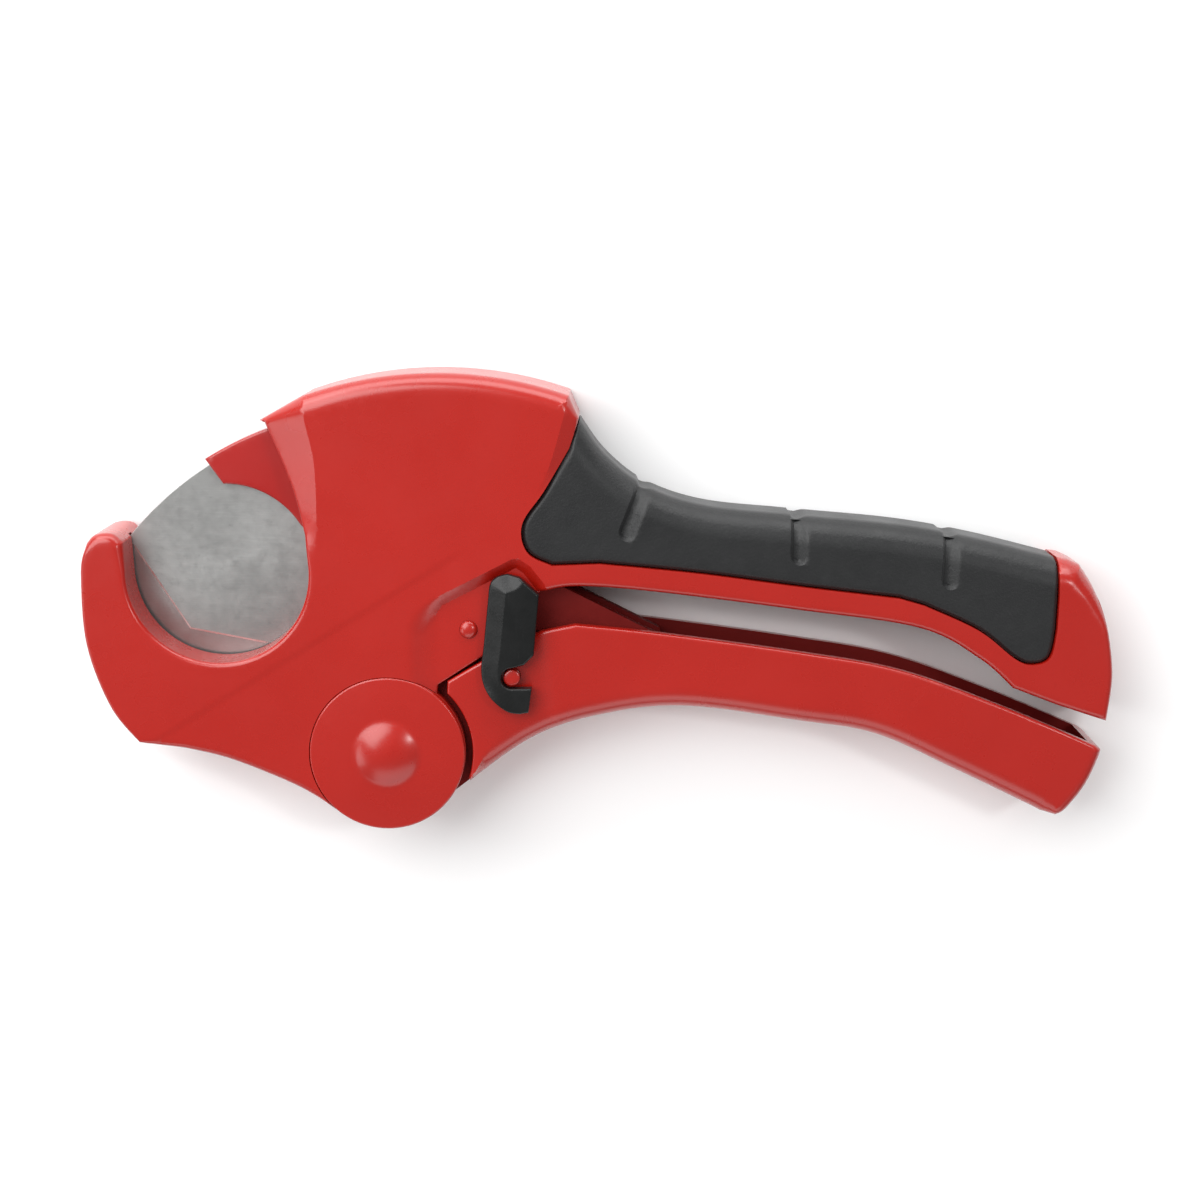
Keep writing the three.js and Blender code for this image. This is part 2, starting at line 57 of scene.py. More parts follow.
# ---- driving dimensions, in millimetres ----
MM = 0.001
FACE = 24.0  # near face of the body; the far face is at 0
MID = 12.0  # plane where the shells meet
GAP = 0.3
SEAM = 0.12  # visible gap round the pivot caps
PAST = 5.0  # how far a cutter runs past what it cuts
WALL_FROM = 0.5  # faces further than this from an outline belong to the inside
SAME_POINT = 0.02  # outline points closer than this are one point
WELD = 1e-6  # in metres
SOFT_ANGLE = 32  # edges sharper than this many degrees are shaded as edges
SHELL_ANGLE = 22
BLADE_ANGLE = 4
SIDES = 48  # sides of a round hole
CAP_SIDES = 128
RING_SIDES = 64
SMALL_SIDES = 24
SCREW_SIDES = 20
PIN_SIDES = 32

BOSS_R = 18.5
CAP_R = 18.4
CAP_DEPTH = 2.0
DOME_R = 7.8
DOME_H = 2.0
POCKET = (-39.0, 43.3, 21.4)
TOP_ARC = (12.5, -3.8, 93.5)
CATCH = (29.7, 18.7)
LATCH_PIN = (30.0, 37.2)
LATCH_BAND = 4.0  # width of the sloping side of the latch
LATCH_SLOPE = 0.34
LATCH_TOP = 26.3
LATCH_UNDER = 23.5
LATCH_BOSS = (3.4, 22.5, 24.2)  # radius and heights
LATCH_FADE = (11, 19)  # the sloping side runs out between these heights along Y
STUD = (19.5, 29.7)
POST = (46.0, 20.0)
HOLDING = (-29.0, 8.5)
HOLDING_R = 4.7
BLADE_SCREWS = ((-20.5, 66.5), (-12.2, 33.0))
BODY_SCREWS = ((-48.0, 9.0), (8.0, 85.7), (38.0, 79.5), (163.5, 24.0))

# Hollows, as heights above the far face.
FORK_SPACE = (5.3, 18.7)
CARRIER_SPACE = (8.6, 15.4)
BLADE_SPACE = (10.8, 13.2)
SHELL_INSIDE = (5.2, 18.8)
LEVER_CHANNEL = (3.6, 20.4)
LEVER_INSIDE = (3.5, 20.5)
FORKS = ((15.3, 18.3), (5.7, 8.7))

# Round holes: radius, then the height or heights where they end.
BORE_R = 5.3
WHEEL_BORE_R = 7.3
BOLT_HEAD_SEAT = (7.5, 20.1)
NUT_SEAT = (8.3, 4.9)
HOLDING_PIN_HOLE = (1.85, 4.7, 19.3)
LATCH_PIN_HOLE = (1.7, 16.0)
LATCH_HOLE = (1.7, 15.0, 25.6)
STUD_HOLE = (2.15, 19.2)
SCREW_HOLE = (1.8, 17.3)
SCREW_SEAT = (3.3, 2.6)
CATCH_HOLE_R = 2.05
POST_HOLE = (2.25, 5.0, 19.0)
BLADE_SCREW_HOLE = (2.3, 5.0, 20.0)


# ---- outlines ----
def arc(x, y, r, start, end, steps):
    """Points on a circle, both ends included; angles in degrees, anticlockwise from +X."""
    angles = np.radians(np.linspace(start, end, steps + 1))
    return [(x + r * math.cos(a), y + r * math.sin(a)) for a in angles]


def bend(points, steps=24):
    """A smooth curve through a few points."""
    p = np.array(points, float)
    p = np.vstack([p[0], p, p[-1]])
    out = []
    spans = len(points) - 1
    for i in range(steps + 1):
        at = spans * i / steps
        k = min(int(at), spans - 1)
        t = at - k
        a, b, c, d = p[k], p[k + 1], p[k + 2], p[k + 3]
        square = (2 * a - 5 * b + 4 * c - d) * t**2
        cube = (3 * b - a - 3 * c + d) * t**3
        out.append(tuple(0.5 * (2 * b + (c - a) * t + square + cube)))
    return out


def trace(*stretches):
    """Joins (points, edge radius) stretches into one closed outline with a radius at each point."""
    points, radii = [], []
    for stretch, radius in stretches:
        for p in stretch:
            if points and math.dist(points[-1], p) < SAME_POINT:
                continue
            points.append(tuple(p))
            radii.append(radius)
    if math.dist(points[0], points[-1]) < SAME_POINT:
        points.pop()
        radii.pop()
    return np.array(points), np.array(radii, float)


def spread(points, radii, step):
    """Adds points along an outline so that none are further apart than the step."""
    out, out_r = [], []
    count = len(points)
    for i in range(count):
        a, b = points[i], points[(i + 1) % count]
        ra, rb = radii[i], radii[(i + 1) % count]
        n = max(1, math.ceil(np.linalg.norm(b - a) / step))
        for k in range(n):
            out.append(a + (b - a) * k / n)
            out_r.append(ra + (rb - ra) * k / n)
    return np.array(out), np.array(out_r)


def anticlockwise(points, radii=None):
    x, y = points[:, 0], points[:, 1]
    area = np.sum(x * np.roll(y, -1) - np.roll(x, -1) * y)
    if area < 0:
        points = points[::-1]
        radii = None if radii is None else radii[::-1]
    return points, radii


def normals(points):
    """Inward normals of an anticlockwise outline."""
    ahead = np.roll(points, -1, 0) - points
    behind = points - np.roll(points, 1, 0)
    ahead /= np.linalg.norm(ahead, axis=1)[:, None]
    behind /= np.linalg.norm(behind, axis=1)[:, None]
    t = ahead + behind
    n = np.stack([-t[:, 1], t[:, 0]], 1)
    return n / np.maximum(np.linalg.norm(n, axis=1), 1e-6)[:, None]


MITRE_LIMIT = 0.4


def grow(points, distance):
    """An outline moved outwards by a distance, with mitred corners."""
    p, _ = anticlockwise(np.array(points, float))
    n = normals(p)
    ahead = np.roll(p, -1, 0) - p
    ahead /= np.linalg.norm(ahead, axis=1)[:, None]
    across = n[:, 0] * -ahead[:, 1] + n[:, 1] * ahead[:, 0]
    return p - n * (distance / np.maximum(across, MITRE_LIMIT))[:, None]


def to_outline(q, outline):
    """Distance of each point inside a finely spaced anticlockwise outline, and its nearest corner."""
    count = len(outline)
    tree = KDTree(count)
    for i, (x, y) in enumerate(outline):
        tree.insert((x, y, 0), i)
    tree.balance()
    near = np.array([tree.find((x, y, 0))[1] for x, y in q])
    corner_in = normals(outline)[near]
    best = np.full(len(q), np.inf)
    sign = np.ones(len(q))
    for shift in (-1, 0):
        a = outline[(near + shift) % count]
        ab = outline[(near + shift + 1) % count] - a
        t = ((q - a) * ab).sum(1) / (ab**2).sum(1)
        away = q - (a + np.clip(t, 0, 1)[:, None] * ab)
        gap = np.linalg.norm(away, axis=1)
        beside = ((t > 0) & (t < 1))[:, None]
        side_in = np.where(beside, np.stack([-ab[:, 1], ab[:, 0]], 1), corner_in)
        closer = gap < best
        sign = np.where(closer, np.sign((away * side_in).sum(1)), sign)
        best = np.where(closer, gap, best)
    return best * sign, near


def spread_line(line, step):
    """Adds points along an open line so that none are further apart than the step."""
    out = []
    for a, b in zip(line, line[1:]):
        n = max(1, math.ceil(math.dist(a, b) / step))
        out += [(a[0] + (b[0] - a[0]) * k / n, a[1] + (b[1] - a[1]) * k / n) for k in range(n)]
    return out + [line[-1]]


def inset(line, distance):
    """An open line moved to its right, with mitred corners."""
    p = np.array(line, float)
    step = np.diff(p, axis=0)
    right = np.stack([step[:, 1], -step[:, 0]], 1) / np.linalg.norm(step, axis=1)[:, None]
    before, after = np.vstack([right[:1], right]), np.vstack([right, right[-1:]])
    across = before + after
    moved = p + across * (2 * distance / (across**2).sum(1))[:, None]
    return [tuple(q) for q in moved]


def along(x, y, line):
    """Distance of each point to a polyline."""
    q = np.stack([x, y], 1)[:, None, :]
    a, b = np.array(line[:-1], float), np.array(line[1:], float)
    ab = b - a
    t = np.clip(((q - a) * ab).sum(2) / (ab**2).sum(1), 0, 1)
    return np.linalg.norm(q - (a + t[..., None] * ab), axis=2).min(1)


def smooth(t):
    t = np.clip(t, 0, 1)
    return t * t * (3 - 2 * t)


def ease(x, span):
    """From 0 to 1 over a span of x."""
    return smooth((x - span[0]) / (span[1] - span[0]))


# ---- solids ----
def make_object(name, verts, faces):
    mesh = bpy.data.meshes.new(name)
    mesh.from_pydata([tuple(np.array(v) * MM) for v in verts], [], faces)
    mesh.validate()
    obj = bpy.data.objects.new(name, mesh)
    bpy.context.scene.collection.objects.link(obj)
    return obj


def tidy(obj):
    bm = bmesh.new()
    bm.from_mesh(obj.data)
    bmesh.ops.remove_doubles(bm, verts=bm.verts, dist=WELD)
    bmesh.ops.dissolve_degenerate(bm, edges=bm.edges, dist=WELD)
    bmesh.ops.recalc_face_normals(bm, faces=bm.faces)
    bm.to_mesh(obj.data)
    bm.free()
    return obj


def prism(name, points, low, high):
    """A plain extruded outline, used to cut with."""
    p, _ = anticlockwise(np.array(points, float))
    n = len(p)
    verts = [(x, y, low) for x, y in p] + [(x, y, high) for x, y in p]
    faces = [tuple(range(n))[::-1], tuple(range(n, 2 * n))]
    faces += [(i, (i + 1) % n, n + (i + 1) % n, n + i) for i in range(n)]
    return make_object(name, verts, faces)


def disc(name, x, y, r, low, high, sides=SIDES):
    return prism(name, arc(x, y, r, 0, 360 - 360 / sides, sides - 1), low, high)


def ring(name, x, y, inner, outer, low, high, sides=RING_SIDES):
    made = disc(name, x, y, outer, low, high, sides)
    return cut(made, [disc("cut", x, y, inner, low - PAST, high + PAST, sides)])


def combine(obj, other, operation):
    mod = obj.modifiers.new("cut", "BOOLEAN")
    mod.operation = operation
    mod.solver = "MANIFOLD"
    mod.object = other
    graph = bpy.context.evaluated_depsgraph_get()
    mesh = bpy.data.meshes.new_from_object(obj.evaluated_get(graph))
    obj.modifiers.clear()
    obj.data = mesh
    mesh.name = obj.name
    bpy.data.objects.remove(other)
    return obj


def cut(obj, cutters):
    for cutter in cutters:
        combine(obj, cutter, "DIFFERENCE")
    return obj


def join(obj, others):
    for other in others:
        combine(obj, other, "UNION")
    return obj


def fillet(d, r):
    """How far a rounded edge of radius r has fallen at distance d inside the outline."""
    inside = np.clip(r - d, 0, r)
    return r - np.sqrt(np.maximum(r**2 - inside**2, 0))


RINGS = (0.04, 0.14, 0.3, 0.5, 0.74, 1.0)  # where rings of points run across a rounded edge
RING_KEEP = 0.86  # a ring's points are left out where another edge is nearer than this
RIM_ROW = 0.4  # height of the row of faces just below a rim
ROW_STEP = 0.87  # rows of the grid, as a part of its spacing
GRID_CLEAR = (1.12, 0.25)  # the grid stays clear of the edges by these parts of their radius and its spacing
LINE_CLEAR = 0.3
CDT_GAP = 1e-4


def ring_points(points, radii):
    """Rings of points that follow an outline's rounded edges."""
    inward = normals(points)
    rings = []
    for f in RINGS:
        q = points + inward * (f * radii)[:, None]
        d, _ = to_outline(q, points)
        rings.append(q[d > RING_KEEP * f * radii])
    return rings


def grid_points(points, radii, spacing):
    """An even grid of staggered points inside the rounded edges."""
    low, high = points.min(0), points.max(0)
    xs = np.arange(low[0] + spacing / 2, high[0], spacing)
    ys = np.arange(low[1] + spacing / 2, high[1], spacing * ROW_STEP)
    grid = np.array([(x + (j % 2) * spacing / 2, y) for j, y in enumerate(ys) for x in xs])
    d, near = to_outline(grid, points)
    of_radius, of_spacing = GRID_CLEAR
    return grid[d > radii[near] * of_radius + of_spacing * spacing]


def triangulate(points, radii, lines, spacing):
    """Covers an outline with triangles that keep to its edge and to the given lines."""
    parts = [points, *ring_points(points, radii), grid_points(points, radii, spacing)]
    n = len(points)
    edges = [(i, (i + 1) % n) for i in range(n)]
    for line in lines:
        q = np.array(line, float)
        d, _ = to_outline(q, points)
        q = q[d > LINE_CLEAR]
        count = sum(len(part) for part in parts)
        edges += [(count + i, count + i + 1) for i in range(len(q) - 1)]
        parts.append(q)
    made = delaunay_2d_cdt([Vector(p) for p in np.vstack(parts)], edges, [], 1, CDT_GAP)
    flat = np.array([tuple(v) for v in made[0]])
    triangles = [t for t in made[2] if len(t) == 3]
    middle = np.array([flat[list(t)].mean(0) for t in triangles])
    d, _ = to_outline(middle, points)
    return flat, [t for t, inside in zip(triangles, d > 0) if inside]


def rim_of(triangles):
    """For each corner on the open edge of a sheet of triangles, the next corner round."""
    sides = dict.fromkeys((a, b) for t in triangles for a, b in zip(t, (*t[1:], t[0])))
    return {a: b for (a, b) in sides if (b, a) not in sides}


def loop_of(rim):
    """The corners of a rim in order."""
    loop = [next(iter(rim))]
    while rim[loop[-1]] != loop[0]:
        loop.append(rim[loop[-1]])
    return loop


def relief(name, outline, face, floor, lower=None, lines=(), spacing=1.1, double=False, soften=4):
    """A solid over an outline: rounded edges of the outline's own radii, a face height, and lower(x, y),
    which says how much lower each point of the face is. With double, the far half mirrors the near one."""
    points, radii = spread(*outline, spacing)
    points, radii = anticlockwise(points, radii)
    for _ in range(soften):
        radii = (np.roll(radii, 1) + 2 * radii + np.roll(radii, -1)) / 4
    flat, triangles = triangulate(points, radii, lines, spacing)
    d, near = to_outline(flat, points)
    drop = fillet(np.maximum(d, 0), radii[near])
    if lower:
        drop = np.maximum(drop, 0) + lower(flat[:, 0], flat[:, 1])
    top = face - drop
    verts = [(*p, z) for p, z in zip(flat, top)]
    faces = list(triangles)
    rim = rim_of(triangles)
    levels = [dict(zip(rim, rim))]
    for level in (RIM_ROW, None):
        levels.append({a: len(verts) + i for i, a in enumerate(rim)})
        verts += [(*flat[a], floor if level is None else top[a] - level) for a in rim]
    for upper, below in zip(levels, levels[1:]):
        faces += [(upper[b], upper[a], below[a], below[b]) for a, b in rim.items()]
    if double:
        shift = len(verts)
        verts += [(x, y, 2 * floor - z) for x, y, z in verts]
        faces += [tuple(shift + i for i in f[::-1]) for f in list(faces)]
    else:
        faces.append(tuple(levels[-1][i] for i in loop_of(rim)[::-1]))
    return tidy(make_object(name, verts, faces))


def flip_side(obj):
    """Mirrors a finished near piece to the far side."""
    for v in obj.data.vertices:
        v.co.z = FACE * MM - v.co.z
    obj.data.flip_normals()
    return obj


def lathe(name, profile, x=0.0, y=0.0, sides=96):
    """Turns a (radius, height) profile, from the axis back to the axis, about a vertical axis."""
    verts, faces, rows = [], [], []
    for r, z in profile:
        if r < 1e-6:
            rows.append([len(verts)] * sides)
            verts.append((x, y, z))
            continue
        rows.append(list(range(len(verts), len(verts) + sides)))
        turns = [2 * math.pi * i / sides for i in range(sides)]
        verts += [(x + r * math.cos(a), y + r * math.sin(a), z) for a in turns]
    for lower, upper in zip(rows, rows[1:]):
        for i in range(sides):
            k = (i + 1) % sides
            face = list(dict.fromkeys((lower[i], lower[k], upper[k], upper[i])))
            if len(face) > 2:
                faces.append(tuple(face))
    return tidy(make_object(name, verts, faces))


# ---- shapes shared by several pieces ----
UNDER_GRIP = bend(
    [(43.4, 77.4), (49.6, 68.7), (59.3, 61.1), (74.1, 55.9), (94.7, 53.7), (119.9, 51.3), (157.7, 43.6)], 60
)
GRIP_TOP = bend(
    [(45.7, 78.8), (51.6, 70.7), (60.7, 63.5), (74.5, 58.7), (94.9, 56.5), (120.2, 54.1), (138.4, 50.9),
     (157.3, 46.2)],
    80,
)
UNDER_END = 8  # the body's outline joins the line under the grip from this point on
GRIP_EDGES = (
    ([(157.4, 37.1)], 1.2),
    (bend([(157.2, 29.9), (155.9, 23.4), (152.1, 21.8), (148, 23.2), (139.4, 29.9), (126.4, 35.9)], 30), 1.2),
    (bend([(120.5, 37.6), (97.1, 40.4), (73.7, 43.5), (50.4, 45.8)], 24), 1.2),
    (bend([(39.3, 45.4), (33.7, 48.4), (32.6, 54.8), (37.7, 62.5), (43.5, 72.2)], 28), 1.2),
)
GROOVES = (((61.8, 65.2), (57.0, 53.0)), ((97.2, 58.6), (97.0, 47.4)), ((133.0, 54.2), (132.3, 41.6)))
GROOVE_R = 2.3
GROOVE_WALL = 0.9
GROOVE_SLOPE = 3.2
GROOVE_DEPTH = 1.4
NOTCH = 0.9  # depth of a groove where it crosses the outline
GRIP_FACE = 23.4
GRIP_ROUND = 6.5  # edge radius along the top of the grip
SEAT_HIGH = 19.3  # the grip sits on the handle between these heights
SEAT_LOW = FACE - SEAT_HIGH

END_TOP = [(152, 47.5), (157.9, 46.3), (160.4, 45.9), (163.2, 44.6), (166.6, 38.8), (169.4, 30.6)]
END_EDGE = 1.4
END_ROUND = 6.5  # the end of the handle is rounded as the grip is
END_FADE = (28, 47)  # the rounding grows between these heights along Y
TOP_EDGE = 4.0  # edge radius along the top of the near shell
FAR_TOP_EDGE = 1.2  # smaller, because a screw's seat comes close to it


def body_outline(top_edge=TOP_EDGE):
    handle = [(147.8, 15.8), (139.8, 22.8), (125.5, 30.2), (97.3, 34.5), (62.1, 39), (44.6, 40.2),
              (36.4, 38.8)]
    return trace(
        (bend([(-58.6, 2.7), (-65.1, 11.4), (-70.1, 26.4), (-70.7, 43), (-69.6, 48.8)], 30), 0.8),
        (bend([(-69.2, 50.2), (-67.8, 51.9), (-65.3, 52.6), (-62.7, 52.2), (-60.8, 50.3)], 12), 2.2),
        (arc(*POCKET, 180, 340, 70), 1.1),
        (arc(*POCKET, 342, 364, 10), 1.0),
        (bend([(-18.2, 52.1), (-21.5, 63.9), (-27.5, 78)], 14), 0.5),
        ([(-28.9, 78.5)], 1.2),
        (arc(*TOP_ARC, 109.2, 70.8, 40), top_edge),
        ([(45.5, 79.3)], 1.0),
        ([(45.2, 78.3), (44.4, 75.8), *UNDER_GRIP[UNDER_END:]], 0.3),
        (END_TOP[1:4], END_EDGE),
        (bend([*END_TOP[3:], (171.1, 18.9), (170.1, 7.8)], 24), END_EDGE),
        ([(157.9, 11.9)], 1.2),
        (bend(handle, 60), 1.2),
        ([(27, 26), (13.5, 17.2), (12.1, 16.3)], 0.5),
        (arc(0, 0, BOSS_R, 50, -132.6, 60), 0.4),
        (bend([(-16.1, -11.3), (-23.2, -7.3), (-37.2, -1.5), (-48, 1.2)], 16), 1.5),
    )


FRONT_CREASE = bend([(-15.9, 46.5), (-15.3, 58.3), (-15.7, 69.9), (-17.6, 79.1), (-18.3, 86.5)], 40)
REAR_CREASE = bend([(35.2, 60.5), (38.4, 67.6), (41.2, 76.8), (43.3, 85)], 20)
FRONT_SLOPE = 0.5
REAR_SLOPE = 0.45
REAR_LIMIT = 2.5
FRONT_FROM = -34  # the front band lies right of this, and the rear band left of REAR_TO
REAR_TO = 60
FRONT_FADE = (46, 58)  # the bands grow between these heights along Y
REAR_FADE = (60.5, 68.5)

RECESS_WALL = [(2, 32.5), (13.6, 38.4), (30, 46.8), (31.4, 46.9), (34.2, 45), (37.6, 40.6), (39, 36)]
RECESS = [*RECESS_WALL, (30, 8), (2, 8)]
RECESS_DEPTH = 1.8
RECESS_RAMP = 2.5
RECESS_FADE = (3, 13)  # the recess deepens between these places along X
RECESS_SOFT = 3.5  # its wall is this much wider at the left
SOFT_FADE = (8, 14)

FOLD = ((-54.4, 4.2), (20.9, 50.9))  # a shallow step runs across the face between these points
FOLD_DEPTH = 0.16
FOLD_RAMP = 1.4
FOLD_FADE = (14, 20)
LINE_STEP = 0.8  # spacing of the points along a line of slope

RECESS_OUTLINE, _ = anticlockwise(*spread(np.array(RECESS, float), np.zeros(len(RECESS)), 0.5))


def crease_at(crease, y):
    """Where a crease crosses each height."""
    line = np.array(crease)
    return np.interp(y, line[:, 1], line[:, 0])


def chamfers(x, y):
    """The sloping bands at the front and rear of the body's face, and the rounded end of the handle."""
    slope = np.maximum(crease_at(FRONT_CREASE, y) - x, 0) * FRONT_SLOPE * ease(y, FRONT_FADE)
    front = np.where(x > FRONT_FROM, slope, 0)
    slope = np.maximum(x - crease_at(REAR_CREASE, y), 0) * REAR_SLOPE * ease(y, REAR_FADE)
    rear = np.where(x < REAR_TO, slope, 0)
    return front + np.minimum(rear, REAR_LIMIT) + end_round(x, y)


def end_round(x, y):
    """The extra rounding along the top of the handle's end."""
    away = along(x, y, END_TOP)
    r = END_EDGE + (END_ROUND - END_EDGE) * ease(y, END_FADE)
    return np.where(x > END_TOP[0][0], np.maximum(fillet(away, r) - fillet(away, END_EDGE), 0), 0)


def far_lines():
    """Where the far face changes slope."""
    rounds = [spread_line(inset(END_TOP, END_ROUND * f), LINE_STEP) for f in RINGS[1:]]
    return (FRONT_CREASE, REAR_CREASE, *rounds)


def below_fold(x, y):
    """Distance below the fold line, negative above it."""
    (x0, y0), (x1, y1) = FOLD
    length = math.dist(*FOLD)
    return ((x - x0) * (y1 - y0) - (y - y0) * (x1 - x0)) / length


def near_face(x, y):
    into, _ = to_outline(np.stack([x, y], 1), RECESS_OUTLINE)
    ramp = RECESS_RAMP + RECESS_SOFT * (1 - ease(x, SOFT_FADE))
    recess = RECESS_DEPTH * np.clip(into / ramp, 0, 1) * ease(x, RECESS_FADE)
    fold = FOLD_DEPTH * smooth(below_fold(x, y) / FOLD_RAMP) * (1 - ease(x, FOLD_FADE))
    return chamfers(x, y) + np.maximum(recess, fold)


def near_lines():
    """Where the near face changes slope: the creases, both edges of the recess's wall and of the fold."""
    (x0, y0), (x1, y1) = FOLD
    along_fold = np.array([x1 - x0, y1 - y0]) / math.dist(*FOLD)
    across = np.array([along_fold[1], -along_fold[0]])
    wall = [spread_line(edge, LINE_STEP) for edge in (RECESS_WALL, inset(RECESS_WALL, RECESS_RAMP))]
    folds = [spread_line([end + across * k for end in np.array(FOLD)], 1.0) for k in (0, FOLD_RAMP)]
    return (*far_lines(), *wall, *folds)


def spaces():
    """Cutters for what moves inside the body."""
    fork = arc(0, 0, 18.2, 63, 227, 40) + [
        (-13.6, -15), (-14, -60), (120, -60), (120, 5), (66, 28.4), (42.7, 39.5), (38, 41.3), (33.9, 36.6),
        (25.6, 29.7), (11.7, 21.7),
    ]
    carrier = [(-12, 0), (-15, 6.6), (-25.2, 13.6)] + arc(POCKET[0], POCKET[1], 23.6, -64, 14, 20)
    carrier += [(-30, 50), (-60, 62)] + arc(0, 0, 82, 126, 57, 40)
    carrier += [(45.5, 55), (41.4, 42), (41.4, 37), (20, 10)]
    holding = arc(*HOLDING, HOLDING_R, 60, 200, 16) + [(-24.8, -4.2), (-18, -9), (-10, -9), (-10, 4)]
    blade = [(-53.2, 20.3), (-24, 14.6), (-10, 8), (0, 20)] + arc(0, 0, 80, 100, 147, 40) + [(-67.6, 43)]
    return [
        prism("cut", fork, *FORK_SPACE),
        prism("cut", carrier, *CARRIER_SPACE),
        prism("cut", holding, *CARRIER_SPACE),
        prism("cut", blade, *BLADE_SPACE),
        disc("cut", 0, 0, BORE_R, -PAST, FACE + PAST),
        disc("cut", *HOLDING, *HOLDING_PIN_HOLE, SMALL_SIDES),
    ]


def grip_seat(low, high):
    points, _ = trace((GRIP_TOP, 0), *GRIP_EDGES)
    return prism("cut", grow(points, GAP), low, high)


def shell_near():
    made = relief("shell_near", body_outline(), FACE, MID, near_face, near_lines())
    cutters = spaces() + [
        disc("cut", 0, 0, CAP_R + SEAM, FACE - CAP_DEPTH, FACE + PAST, CAP_SIDES),
        disc("cut", 0, 0, *BOLT_HEAD_SEAT, FACE + PAST),
        disc("cut", *LATCH_PIN, *LATCH_PIN_HOLE, FACE + PAST, SMALL_SIDES),
        disc("cut", *STUD, *STUD_HOLE, FACE + PAST),
        grip_seat(SEAT_HIGH, FACE + PAST),
    ]
    radius, end = SCREW_HOLE
    cutters += [disc("cut", x, y, radius, 0, end, SCREW_SIDES) for x, y in BODY_SCREWS]
    return cut(made, cutters)


def shell_far():
    made = flip_side(relief("shell_far", body_outline(FAR_TOP_EDGE), FACE, MID, chamfers, far_lines()))
    cutters = spaces() + [
        disc("cut", 0, 0, CAP_R + SEAM, -PAST, CAP_DEPTH, CAP_SIDES),
        disc("cut", 0, 0, NUT_SEAT[0], -PAST, NUT_SEAT[1]),
        grip_seat(-PAST, SEAT_LOW),
    ]
    for (radius, end), sides in ((SCREW_HOLE, SCREW_SIDES), (SCREW_SEAT, 2 * SCREW_SIDES)):
        cutters += [disc("cut", x, y, radius, -PAST, end, sides) for x, y in BODY_SCREWS]
    return cut(made, cutters)


def groove_depth(x, y, top, bottom):
    """From 0 outside a groove to 1 on its floor: a steep left side, a long right side, a round end."""
    reach = (np.array(top) - np.array(bottom)) / math.dist(top, bottom)
    up = (x - bottom[0]) * reach[0] + (y - bottom[1]) * reach[1]
    right = (x - bottom[0]) * reach[1] - (y - bottom[1]) * reach[0]
    end = smooth((up + np.sqrt(np.maximum(GROOVE_R**2 - right**2, 0))) / GROOVE_WALL)
    left_side = smooth((right + GROOVE_R) / GROOVE_WALL)
    right_side = smooth((GROOVE_R - right) / GROOVE_SLOPE)
    return end * np.minimum(left_side, right_side)


def groove_line(top, bottom, r):
    """A line up one side of a groove, round its end and down the other, at a distance from its middle."""
    turn = math.degrees(math.atan2(top[1] - bottom[1], top[0] - bottom[0]))
    foot = arc(*bottom, r, turn - 90, turn - 270, 10)
    reach = np.array(top) - np.array(bottom)
    ends = [tuple(np.array(foot[0]) + reach), *foot, tuple(np.array(foot[-1]) + reach)]
    return spread_line(ends, 0.7)


def grip():
    points, radii = spread(*trace((GRIP_TOP, 0.3), *GRIP_EDGES), 0.6)
    notched = points.copy()
    for top, bottom in GROOVES:
        down = (np.array(bottom) - np.array(top)) / math.dist(top, bottom)
        notched += NOTCH * groove_depth(points[:, 0], points[:, 1], top, bottom)[:, None] * down

    def lower(x, y):
        grooves = np.max([groove_depth(x, y, *groove) for groove in GROOVES], axis=0)
        return fillet(along(x, y, GRIP_TOP), GRIP_ROUND) + GROOVE_DEPTH * grooves

    lines = [spread_line(inset(GRIP_TOP, GRIP_ROUND * f), 1.0) for f in RINGS[1:]]
    lines += [groove_line(*groove, GROOVE_R - GROOVE_WALL * k / 2) for groove in GROOVES for k in range(3)]
    made = relief("grip", (notched, radii), GRIP_FACE, MID, lower, lines, 1.0, True)
    core = [(x + 0.1, y + GAP) for x, y in UNDER_GRIP] + [(170, 43), (170, -10), (20, -10), (20, 85)]
    return cut(made, [prism("cut", core, SEAT_LOW - GAP, SEAT_HIGH + GAP)])


LEVER_FACE = 23.0
CHEEK_DROP = 0.5
CHEEK_SLANT = 0.12
CHEEK_FADE = (38, 42)


def lever_face(x, y):
    """The cheeks stand lower where the latch lies over them."""
    return CHEEK_DROP * (1 - ease(x + CHEEK_SLANT * y, CHEEK_FADE))


def lever_outline():
    top = [(44.6, 30.9), (64.5, 28.8), (97.5, 24.2), (121.1, 19.9), (144.9, 11.4), (168.2, 1.5)]
    end = [(169.2, 0.8), (169.3, -0.6), (166.3, -7.9), (161.8, -14.1), (159.3, -15.7)]
    under = [(155.8, -14.9), (133.9, -4.2), (115.9, 3.9), (98, 7), (69.4, 10.7), (48.1, 8), (33.8, 2.6),
             (19.4, -7.7)]
    return trace(
        (bend([(14.4, 17.2), (22.2, 21.8), (36.6, 29.3)], 12), 0.7),
        (bend(top, 50), 0.7),
        (bend(end, 20), 2.2),
        (bend(under, 70), 4.2),
        (arc(0, 0, 20.2, -19, 45, 16), 0.5),
    )


def fork_outline():
    fork = arc(0, 0, 17.8, 63, 307.7, 60) + [(24, -3.9)]
    fork += bend([(26.6, -1.4), (40.9, 6.2), (55.2, 10.1), (66, 11.4)], 16)
    return fork + [(66, 24), (64.7, 27.5), (42.2, 38.9), (38, 40.5), (34.5, 36), (26, 29), (12, 21)]


